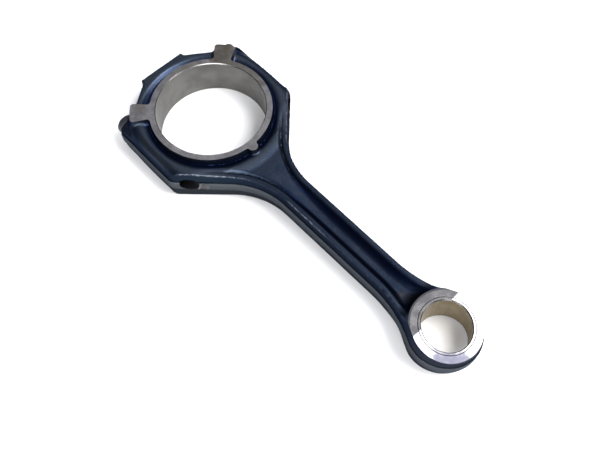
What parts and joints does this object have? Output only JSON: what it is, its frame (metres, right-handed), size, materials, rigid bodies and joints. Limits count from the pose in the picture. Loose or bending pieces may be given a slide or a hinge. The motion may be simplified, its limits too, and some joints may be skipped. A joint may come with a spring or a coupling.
{
  "type": "connecting rod",
  "caption": "Forged I-section connecting rod with a fracture-split bearing cap, cap bolts and a keystone small end with a pressed bronze bush.",
  "frame": {"origin": "centre of the crankpin bore, halfway through the rod's thickness", "axes": "+X from the crankpin bore to the piston-pin bore, +Z along the axis of both bores"},
  "size_m": [0.1975, 0.0732, 0.019],
  "materials": {
    "forged_steel": "dark blue-black forging with machined satin faces",
    "bolt_steel": "blackened",
    "bush_bronze": "honed bronze"
  },
  "bodies": {
    "rod": {"rod_body": "forged_steel", "small_end_bush": "bush_bronze"},
    "cap": {"bearing_cap": "forged_steel"},
    "bolt_left": {"cap_bolt_left": "bolt_steel"},
    "bolt_right": {"cap_bolt_right": "bolt_steel"}
  },
  "joints": [
    {"name": "cap_lift", "type": "slide", "parent": "rod", "child": "cap", "axis": [-1, 0, 0], "range_m": [0, 0.04]},
    {"name": "bolt_left_unscrew", "type": "slide", "parent": "cap", "child": "bolt_left", "axis": [-1, 0, 0], "range_m": [0, 0.04]},
    {"name": "bolt_right_unscrew", "type": "slide", "parent": "cap", "child": "bolt_right", "axis": [-1, 0, 0], "range_m": [0, 0.04]}
  ]
}
